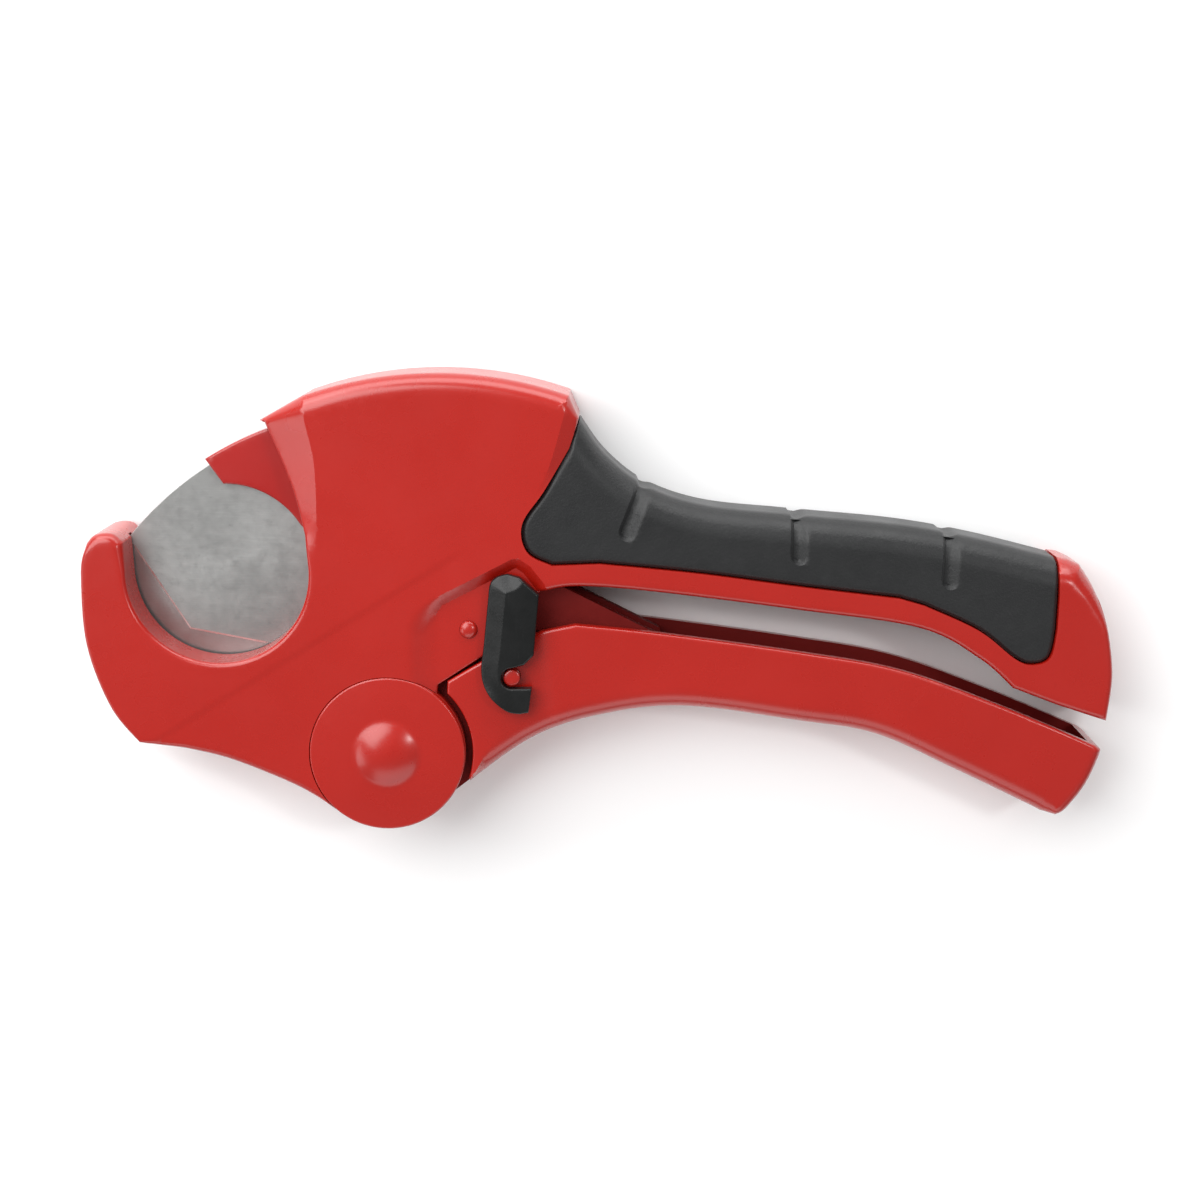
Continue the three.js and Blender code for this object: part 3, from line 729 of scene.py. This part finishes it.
def channel_outline():
    floor = [(17.6, -5.5), (32.3, 5.1), (47, 10.7), (69.4, 13.5), (98.4, 9.8), (116.6, 6.6), (134.9, -1.5),
             (155.5, -11.4)]
    channel = [(10, -12)] + bend(floor, 60) + bend([(160, -11.2), (163.6, -6.8), (166.4, 0)], 10)
    return channel + [(167, 20), (60, 45), (0, 45)]


def lever():
    made = relief("lever", lever_outline(), LEVER_FACE, MID, lever_face, spacing=1.0, double=True, soften=6)
    made = cut(made, [prism("cut", channel_outline(), *LEVER_CHANNEL)])
    made = join(made, [prism("add", fork_outline(), *heights) for heights in FORKS])
    return cut(made, [
        disc("cut", 0, 0, WHEEL_BORE_R, 0, FACE),
        disc("cut", *CATCH, CATCH_HOLE_R, 0, FACE, PIN_SIDES),
        disc("cut", *POST, *POST_HOLE, PIN_SIDES),
    ])


TOOTH_TIP_R = 17.0
TOOTH_ROOT_R = 15.6
TOOTH_PITCH = 7.2  # degrees
TOOTH_FLANK = 0.1
TEETH = (-207.2, 96)  # the first and last tooth lie between these angles
WHEEL = (9.05, 14.95)
SPRING_GROOVE = (8.7, 12.3, 12.4)  # inner and outer radius and floor of the blade spring's groove
ARM_FACE = 15.0
BLADE_SLOT = (11.0, 13.0)


def teeth():
    """Saw teeth with their steep faces turned clockwise, left off where the arm grows out of the wheel."""
    rim = []
    steep, last = TEETH
    while steep < last:
        root = math.radians(steep - TOOTH_FLANK)
        tip = math.radians(steep)
        rim.append((TOOTH_ROOT_R * math.cos(root), TOOTH_ROOT_R * math.sin(root)))
        rim.append((TOOTH_TIP_R * math.cos(tip), TOOTH_TIP_R * math.sin(tip)))
        steep += TOOTH_PITCH
    return rim


BLADE_EDGE = [(-66.5, 43.4), (-52.4, 21.2), (-24, 15.7)]
BEVEL_WIDTH = 8.0
BEVEL_DROP = 0.84
BURNISHED = 0.4  # width of the polished strip along the top of the bevel
BURNISHED_DROP = 0.13
BLADE_FACE = 12.9


def blade_outline():
    return trace(
        (BLADE_EDGE, 0.02),
        (bend([(-13, 23), (-8.5, 33), (-8, 45), (-13, 60), (-24, 72)], 30), 0.1),
        (arc(0, 0, 79.4, 112, 146.85, 60), 0.12),
    )


def blade_screw_holes():
    return [disc("cut", x, y, *BLADE_SCREW_HOLE, PIN_SIDES) for x, y in BLADE_SCREWS]


def blade():
    def lower(x, y):
        away = along(x, y, BLADE_EDGE)
        strip = BURNISHED_DROP * np.clip((BEVEL_WIDTH - away) / BURNISHED, 0, 1)
        bevel = np.clip((BEVEL_WIDTH - BURNISHED - away) / (BEVEL_WIDTH - BURNISHED), 0, 1)
        return strip + (BEVEL_DROP - BURNISHED_DROP) * bevel

    creases = [spread_line(inset(BLADE_EDGE, -w), 1) for w in (BEVEL_WIDTH, BEVEL_WIDTH - BURNISHED)]
    made = relief("blade_plate", blade_outline(), BLADE_FACE, MID, lower, creases, 1.2, True, soften=0)
    return cut(made, blade_screw_holes())


def carrier():
    arm = trace(
        ([(-10, 4), (-15, 8), (-24.5, 14.5)], 0.5),
        (arc(POCKET[0], POCKET[1], 24.3, -54, 12, 24), 0.5),
        (arc(-38, 42.5, 20.7, 32, 91, 24), 0.6),
        (arc(0, 0, 81.1, 121.6, 109.8, 16), 0.6),
        ([(-16.9, 67.9), (-7, 54), (-4, 41), (-2.5, 30), (-0.5, 15)], 0.5),
    )
    made = relief("carrier", arm, ARM_FACE, MID, spacing=1.4, double=True, soften=1)
    made = join(made, [prism("add", teeth(), *WHEEL)])
    made = cut(made, [
        disc("cut", 0, 0, WHEEL_BORE_R, 0, FACE),
        ring("cut", 0, 0, *SPRING_GROOVE, FACE),
        prism("cut", grow(blade_outline()[0], GAP), *BLADE_SLOT),
    ])
    return cut(made, blade_screw_holes())


def latch():
    shoulder = bend([(28.8, 43.3), (26.4, 42.6), (24.8, 41), (24.3, 37.5)], 14)
    foot = bend([(23.1, 25.8), (22.5, 20.8), (23, 17.1), (24.9, 13.7), (28.5, 10.8), (31.5, 10.2)], 30)
    outline = trace(
        (shoulder, 0.35),
        (foot, 0.35),
        ([(33.6, 10.5), (34.4, 16.3)], 0.5),
        (arc(*CATCH, 2.5, 280, 90, 24), 0.4),
        ([(32.6, 21.9), (34.9, 24.2), (36.2, 38.6), (31.7, 42.6)], 0.6),
    )
    band = shoulder + foot

    def lower(x, y):
        return LATCH_SLOPE * np.maximum(LATCH_BAND - along(x, y, band), 0) * ease(y, LATCH_FADE)

    crease = np.array(inset(band, -LATCH_BAND))
    clear = along(crease[:, 0], crease[:, 1], band) > LATCH_BAND - 0.1
    line = spread_line([tuple(p) for p in crease[clear]], 0.5)
    made = relief("latch_lever", outline, LATCH_TOP, LATCH_UNDER, lower, [line], spacing=0.45, soften=2)
    made = join(made, [disc("add", *LATCH_PIN, *LATCH_BOSS)])
    return cut(made, [disc("cut", *LATCH_PIN, *LATCH_HOLE, PIN_SIDES)])


CAP_EDGE = 0.5
CAP_UNDER = 23.3  # floor of the hollow that clears the bolt's head
CAP_HOLLOW_R = 7.1
DOME_ROWS = 15
SPANNER_HOLE = (1.5, 1.2)  # radius and depth
SPANNER_REACH = 12


def cap_near():
    top = FACE + DOME_H
    sphere = (DOME_R**2 + DOME_H**2) / (2 * DOME_H)
    radii = [DOME_R * (1 - i / DOME_ROWS) for i in range(1, DOME_ROWS)]
    dome = [(r, top - sphere + math.sqrt(sphere**2 - r**2)) for r in radii]
    turns = np.linspace(math.pi / 2, 0, 6)
    rim = [(CAP_R + CAP_EDGE * (math.sin(a) - 1), FACE + CAP_EDGE * (math.cos(a) - 1)) for a in turns]
    low = FACE - CAP_DEPTH
    inside = [(0, CAP_UNDER), (CAP_HOLLOW_R, CAP_UNDER), (CAP_HOLLOW_R, low), (CAP_R, low)]
    root = [(DOME_R + 1.0, FACE), (DOME_R + 0.4, FACE + 0.04), (DOME_R - 0.05, FACE + 0.14)]
    return lathe("cap_near", [*inside, *rim, *root, *dome, (0, top)])


def cap_far():
    turns = np.linspace(0, math.pi / 2, 6)
    rim = [(CAP_R + CAP_EDGE * (math.sin(a) - 1), CAP_EDGE * (1 - math.cos(a))) for a in turns]
    made = lathe("cap_far", [(0, 0), *rim, (CAP_R, CAP_DEPTH), (0, CAP_DEPTH)])
    radius, depth = SPANNER_HOLE
    holes = [disc("cut", x, 0, radius, -PAST, depth, PIN_SIDES) for x in (-SPANNER_REACH, SPANNER_REACH)]
    return cut(made, holes)


# Radius, both ends and the height of the rounded top.
STUD_PIN = (2.1, 19.5, 23.3, 1.1)
CATCH_PIN = (1.9, 0.6, 25.4, 0.35)
PIN_BEVEL = 0.2


def pin(name, x, y, r, low, high, dome):
    """A pin with a rounded top."""
    turns = np.linspace(0, math.pi / 2, 9)[:-1]
    top = [(r * math.cos(a), high - dome + dome * math.sin(a)) for a in turns]
    foot = [(0, low), (r - PIN_BEVEL, low), (r, low + PIN_BEVEL)]
    return lathe(name, [*foot, *top, (0, high)], x, y, SIDES)


SCREW_EDGE = 0.3
SCREW_HEAD = (3.0, 2.3)  # radius and height of its underside
SCREW_SHANK = (1.5, 17.0)
SCREW_TIP = 0.4
SOCKET = (1.3, 1.5)


def body_screw(i, x, y):
    """A socket screw: a rounded head, a shank with a bevelled tip and a six-sided socket."""
    head, under = SCREW_HEAD
    shank, end = SCREW_SHANK
    turns = np.linspace(0, math.pi / 2, 5)
    rim = [(head + SCREW_EDGE * (math.sin(a) - 1), SCREW_EDGE * (2 - math.cos(a))) for a in turns]
    tip = [(shank, end - SCREW_TIP), (shank - SCREW_TIP, end), (0, end)]
    made = lathe(f"screw_{i}", [(0, SCREW_EDGE), *rim, (head, under), (shank, under), *tip], x, y, SIDES)
    return cut(made, [disc("cut", x, y, SOCKET[0], -PAST, SOCKET[1], 6)])


# ---- materials ----
class Finish:
    """A node material with helpers for the procedural detail."""

    def __init__(self, name):
        self.material = bpy.data.materials.new(name)
        self.material.use_nodes = True
        self.nodes = self.material.node_tree.nodes
        self.links = self.material.node_tree.links
        self.shader = self.nodes["Principled BSDF"]
        self.place = self.nodes.new("ShaderNodeTexCoord").outputs["Object"]

    def set(self, **sockets):
        for key, value in sockets.items():
            self.shader.inputs[key.replace("_", " ")].default_value = value

    def scaled(self, x, y, z, turn=0.0):
        node = self.nodes.new("ShaderNodeMapping")
        node.inputs["Scale"].default_value = (x, y, z)
        node.inputs["Rotation"].default_value = (0, 0, math.radians(turn))
        self.links.new(self.place, node.inputs["Vector"])
        return node.outputs["Vector"]

    def noise(self, scale, detail=3.0, roughness=0.5, vector=None, distortion=0.0):
        node = self.nodes.new("ShaderNodeTexNoise")
        node.inputs["Scale"].default_value = scale
        node.inputs["Detail"].default_value = detail
        node.inputs["Roughness"].default_value = roughness
        node.inputs["Distortion"].default_value = distortion
        self.links.new(vector or self.place, node.inputs["Vector"])
        return node.outputs["Fac"]

    def ramp(self, value, stops):
        node = self.nodes.new("ShaderNodeValToRGB")
        elements = node.color_ramp.elements
        while len(elements) < len(stops):
            elements.new(0.5)
        for element, (at, colour) in zip(elements, stops):
            element.position = at
            element.color = (*colour, 1)
        self.links.new(value, node.inputs["Fac"])
        return node.outputs["Color"]

    def range(self, value, low, high, start=0.0, end=1.0):
        node = self.nodes.new("ShaderNodeMapRange")
        for key, number in (("From Min", start), ("From Max", end), ("To Min", low), ("To Max", high)):
            node.inputs[key].default_value = number
        self.links.new(value, node.inputs["Value"])
        return node.outputs["Result"]

    def mix(self, factor, a, b):
        node = self.nodes.new("ShaderNodeMix")
        node.data_type = "RGBA"
        for key, value in (("Factor", factor), ("A", a), ("B", b)):
            socket = next(s for s in node.inputs if s.name == key and s.enabled)
            if isinstance(value, bpy.types.NodeSocket):
                self.links.new(value, socket)
            else:
                socket.default_value = value if key == "Factor" else (*value, 1)
        return next(s for s in node.outputs if s.enabled)

    def times(self, a, b):
        node = self.nodes.new("ShaderNodeMath")
        node.operation = "MULTIPLY"
        for socket, value in zip(node.inputs, (a, b)):
            if isinstance(value, bpy.types.NodeSocket):
                self.links.new(value, socket)
            else:
                socket.default_value = value
        return node.outputs["Value"]

    def bump(self, height, distance, strength, onto=None):
        node = self.nodes.new("ShaderNodeBump")
        node.inputs["Strength"].default_value = strength
        node.inputs["Distance"].default_value = distance
        self.links.new(height, node.inputs["Height"])
        if onto is not None:
            self.links.new(onto, node.inputs["Normal"])
        return node.outputs["Normal"]

    def use(self, colour=None, roughness=None, normal=None):
        for key, socket in (("Base Color", colour), ("Roughness", roughness), ("Normal", normal)):
            if socket is not None:
                self.links.new(socket, self.shader.inputs[key])
        return self.material

    def edges(self, low, high):
        """1 along sharp outside edges, 0 elsewhere."""
        point = self.nodes.new("ShaderNodeNewGeometry").outputs["Pointiness"]
        return self.range(point, 0, 1, low, high)


def red_paint(name, deep, bright, worn, roughness=0.27, coat=0.35):
    """Half-gloss paint on a casting: faint mottling, a fine orange-peel skin and lighter rubbed edges."""
    f = Finish(name)
    broad = f.noise(28, 3, 0.55)
    colour = f.ramp(broad, ((0.3, deep), (0.72, bright)))
    specks = f.range(f.noise(950, 2, 0.6), 0, 0.12, 0.56, 0.75)
    colour = f.mix(specks, colour, tuple(c * 0.72 for c in deep))
    rubbed = f.times(f.edges(0.52, 0.6), f.range(f.noise(160, 4, 0.7), 0.1, 0.8, 0.35, 0.7))
    colour = f.mix(f.times(rubbed, 0.6), colour, worn)
    peel = f.bump(f.noise(520, 2, 0.5), 0.00012, 0.12)
    grain = f.bump(f.noise(2600, 1, 0.5), 0.00003, 0.15, peel)
    f.set(Metallic=0.0, Specular_IOR_Level=0.5 if coat else 0.2, Coat_Weight=coat, Coat_Roughness=0.2)
    return f.use(colour, f.range(f.noise(75, 4, 0.6), roughness - 0.02, roughness + 0.04, 0.3, 0.7), grain)


def rubber(name):
    """Moulded rubber: charcoal, with a fine spark-eroded texture and a dusty bloom."""
    f = Finish(name)
    colour = f.ramp(f.noise(45, 4, 0.6), ((0.3, (0.006, 0.0065, 0.007)), (0.7, (0.009, 0.0095, 0.01))))
    bloom = f.range(f.noise(420, 4, 0.75), 0, 0.3, 0.5, 0.72)
    colour = f.mix(bloom, colour, (0.018, 0.018, 0.019))
    coarse = f.bump(f.noise(1500, 2, 0.6), 0.0002, 0.35)
    fine = f.bump(f.noise(4200, 1, 0.5), 0.00006, 0.35, coarse)
    f.set(Specular_IOR_Level=0.42, Sheen_Weight=0.08, Sheen_Roughness=0.5)
    return f.use(colour, f.range(f.noise(120, 4, 0.6), 0.42, 0.52, 0.3, 0.7), fine)


def black_moulding(name):
    """Smooth black plastic with a few slanting scuffs."""
    f = Finish(name)
    colour = f.ramp(f.noise(160, 3, 0.6), ((0.3, (0.005, 0.0055, 0.0055)), (0.7, (0.008, 0.0085, 0.0085))))
    scuffs = f.range(f.noise(60, 5, 0.7, f.scaled(20, 3, 20, 35)), 0, 0.25, 0.6, 0.75)
    colour = f.mix(scuffs, colour, (0.03, 0.031, 0.031))
    normal = f.bump(f.noise(1700, 2, 0.5), 0.0001, 0.25)
    f.set(Specular_IOR_Level=0.35)
    return f.use(colour, f.range(f.noise(240, 3, 0.6), 0.26, 0.34, 0.3, 0.7), normal)


def ground_steel(name):
    """The blade: ground on a wheel, cloudy grey with fine scratches and dark pits."""
    f = Finish(name)
    cloud = f.noise(85, 5, 0.72)
    greys = ((0.28, (0.345, 0.347, 0.34)), (0.5, (0.36, 0.362, 0.355)), (0.74, (0.38, 0.38, 0.372)))
    colour = f.ramp(cloud, greys)
    pits = f.range(f.noise(900, 4, 0.75), 0, 0.5, 0.6, 0.75)
    colour = f.mix(pits, colour, (0.24, 0.245, 0.24))
    scratch = f.noise(1.0, 3, 0.6, f.scaled(260, 5200, 260, 28))
    colour = f.mix(f.range(scratch, 0, 0.14, 0.5, 0.7), colour, (0.56, 0.56, 0.55))
    normal = f.bump(scratch, 0.00004, 0.2, f.bump(f.noise(700, 3, 0.6), 0.00008, 0.2))
    f.set(Metallic=0.75, Anisotropic=0.3)
    return f.use(colour, f.range(f.noise(300, 4, 0.7), 0.3, 0.44, 0.3, 0.7), normal)


def turned_metal(name, dark, light, roughness=0.32):
    """Machined metal with fine turning marks and a little oil staining."""
    f = Finish(name)
    colour = f.ramp(f.noise(260, 4, 0.6), ((0.3, dark), (0.7, light)))
    marks = f.noise(1.0, 2, 0.5, f.scaled(400, 400, 6000))
    normal = f.bump(marks, 0.00003, 0.35)
    f.set(Metallic=1.0)
    return f.use(colour, f.range(f.noise(500, 3, 0.6), roughness - 0.06, roughness + 0.1, 0.3, 0.7), normal)


RED = red_paint("red_paint", (0.35, 0.007, 0.0025), (0.38, 0.009, 0.004), (0.52, 0.05, 0.035))
DEEP_RED = red_paint("carrier_red", (0.31, 0.003, 0.0015), (0.34, 0.004, 0.002), (0.42, 0.03, 0.02), 0.3)
# Painted shade: a darker copy of the red paint for the faces deep inside the lever and the shells, standing
# in for the shade there.
SHADED_INSIDE_RED = red_paint("painted_shade_red", (0.13, 0.002, 0.001), (0.155, 0.003, 0.002), (0.18, 0.008, 0.006), 0.6, 0)
RUBBER = rubber("grip_rubber")
BLACK = black_moulding("latch_black")
BLADE = ground_steel("blade_steel")
STEEL = turned_metal("hardware_steel", (0.38, 0.38, 0.38), (0.5, 0.5, 0.49))
# Partly painted highlight: a brighter steel on the polished strip of the blade's bevel, standing in for the
# glint along it.
HONED_HIGHLIGHT_STEEL = turned_metal("honed_steel_highlight", (0.75, 0.75, 0.74), (0.85, 0.85, 0.83), 0.5)
BRONZE = turned_metal("bush_bronze", (0.42, 0.26, 0.1), (0.55, 0.36, 0.15), 0.38)


def dress(piece, body, node, material, angle=SOFT_ANGLE):
    """Gives a made piece its finish and its body, and hides the CAD node that it stands for."""
    piece.data.shade_smooth()
    piece.data.set_sharp_from_angle(angle=math.radians(angle))
    piece.data.materials.clear()
    piece.data.materials.append(material)
    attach(piece, body)
    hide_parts(node)


def second_finish(piece, material, chosen):
    """Gives another material to the faces that chosen(x, y, z) picks by their middles."""
    piece.data.materials.append(material)
    faces = piece.data.polygons
    middle = np.array([face.center for face in faces]) / MM
    for face, pick in zip(faces, chosen(*middle.T)):
        if pick:
            face.material_index = 1


def paint_inside_shade(piece, outline, heights):
    """Painted shade: the darker red on the hollow inside of a piece, where shade falls."""
    points, _ = anticlockwise(*spread(*outline, 1.0))
    low, high = heights

    def inside(x, y, z):
        d, _ = to_outline(np.stack([x, y], 1), points)
        return (z > low) & (z < high) & (np.abs(d) > WALL_FROM)

    second_finish(piece, SHADED_INSIDE_RED, inside)


def hone_and_highlight(plate):
    """The thin polished strip along the top of the blade's bevel, given a brighter steel as a painted
    highlight.
    """

    def strip(x, y, z):
        away = along(x, y, BLADE_EDGE)
        return (away > BEVEL_WIDTH - BURNISHED) & (away < BEVEL_WIDTH)

    second_finish(plate, HONED_HIGHLIGHT_STEEL, strip)


# ---- assembly ----
near_shell, far_shell, handle = shell_near(), shell_far(), lever()
dress(near_shell, "body", "body_shell_near", RED, SHELL_ANGLE)
dress(far_shell, "body", "body_shell_far", RED, SHELL_ANGLE)
paint_inside_shade(near_shell, body_outline(), SHELL_INSIDE)
paint_inside_shade(far_shell, body_outline(), SHELL_INSIDE)
dress(handle, "lever", "lever_handle", RED)
paint_inside_shade(handle, lever_outline(), LEVER_INSIDE)
dress(grip(), "body", "handle_grip", RUBBER)
dress(cap_near(), "body", "pivot_cap_near", RED)
dress(cap_far(), "body", "pivot_cap_far", RED)
dress(pin("detent_stud", *STUD, *STUD_PIN), "body", "latch_detent_stud", RED)
for number, (sx, sy) in enumerate(BODY_SCREWS, 1):
    dress(body_screw(number, sx, sy), "body", f"body_screw_{number}", STEEL)
dress(pin("catch_pin_round", *CATCH, *CATCH_PIN), "lever", "catch_pin", RED)
dress(carrier(), "blade_carrier", "blade_carrier", DEEP_RED)
plate = blade()
dress(plate, "blade_carrier", "blade", BLADE, BLADE_ANGLE)
hone_and_highlight(plate)
dress(latch(), "latch", "latch", BLACK)

CARRIED_OVER = {
    STEEL: ("pivot_bolt", "pivot_nut", "blade_spring", "spring_post", "return_spring", "drive_pawl",
            "drive_pawl_spring", "blade_screw_1", "blade_screw_2", "holding_pawl", "holding_pawl_pin",
            "holding_pawl_spring", "latch_pin"),
    BRONZE: ("pivot_bush",),
}
for finish, names in CARRIED_OVER.items():
    for node_name in names:
        node = frame["nodes"][node_name]
        node.data.materials.clear()
        node.data.materials.append(finish)

# ---- floor, light and camera ----
CENTRE = Vector((0.05, 0.037, 0.012))
FLOOR_SIDE = 3.0
LEAN = math.radians(10.5)
AWAY = 0.48
AIM = Vector((0.0504, 0.0371, 0.024))
LENS = 61.7
WORLD = 0.32
LIGHTS = (
    ("key", (-0.5, 0.5, 0.75), (0.9, 0.9), 11),
    ("front", (0.15, -0.8, 0.55), (1.2, 0.6), 3),
    ("back", (0.05, 0.9, 0.26), (1.4, 0.5), 9.5),
    ("left", (-0.76, -0.25, 0.5), (0.5, 0.3), 1.2),
    ("spot", (0.6, 0.25, 0.87), (0.12, 0.12), 1.5),
)  # name, place, size and power


def pale_floor():
    f = Finish("floor")
    f.set(Roughness=0.9, Specular_IOR_Level=0.1)
    colour = f.ramp(f.noise(3, 2, 0.5), ((0.3, (0.9, 0.9, 0.9)), (0.7, (0.93, 0.93, 0.93))))
    verts = [(x * FLOOR_SIDE, y * FLOOR_SIDE, 0) for x, y in ((-1, -1), (1, -1), (1, 1), (-1, 1))]
    mesh = bpy.data.meshes.new("floor")
    mesh.from_pydata(verts, [], [(0, 1, 2, 3)])
    floor = bpy.data.objects.new("floor", mesh)
    bpy.context.scene.collection.objects.link(floor)
    floor.data.materials.append(f.use(colour))


def softbox(name, place, size, power):
    light = bpy.data.lights.new(name, "AREA")
    light.shape = "RECTANGLE"
    light.size, light.size_y = size
    light.energy = power
    lamp = bpy.data.objects.new(name, light)
    lamp.location = place
    lamp.rotation_euler = (CENTRE - Vector(place)).to_track_quat("-Z", "Y").to_euler()
    bpy.context.scene.collection.objects.link(lamp)


def world(strength):
    made = bpy.data.worlds.new("studio")
    made.use_nodes = True
    made.node_tree.nodes["Background"].inputs["Color"].default_value = (1, 1, 1, 1)
    made.node_tree.nodes["Background"].inputs["Strength"].default_value = strength
    bpy.context.scene.world = made


def camera():
    """Above the near side, leaning towards the fixed handle."""
    data = bpy.data.cameras.new("camera")
    data.sensor_width = 36
    data.lens = LENS
    made = bpy.data.objects.new("camera", data)
    made.location = AIM + Vector((0, math.sin(LEAN), math.cos(LEAN))) * AWAY
    made.rotation_euler = (-LEAN, 0, 0)
    bpy.context.scene.collection.objects.link(made)
    bpy.context.scene.camera = made


pale_floor()
for light in LIGHTS:
    softbox(*light)
world(WORLD)
camera()
bpy.context.scene.view_settings.view_transform = "Standard"
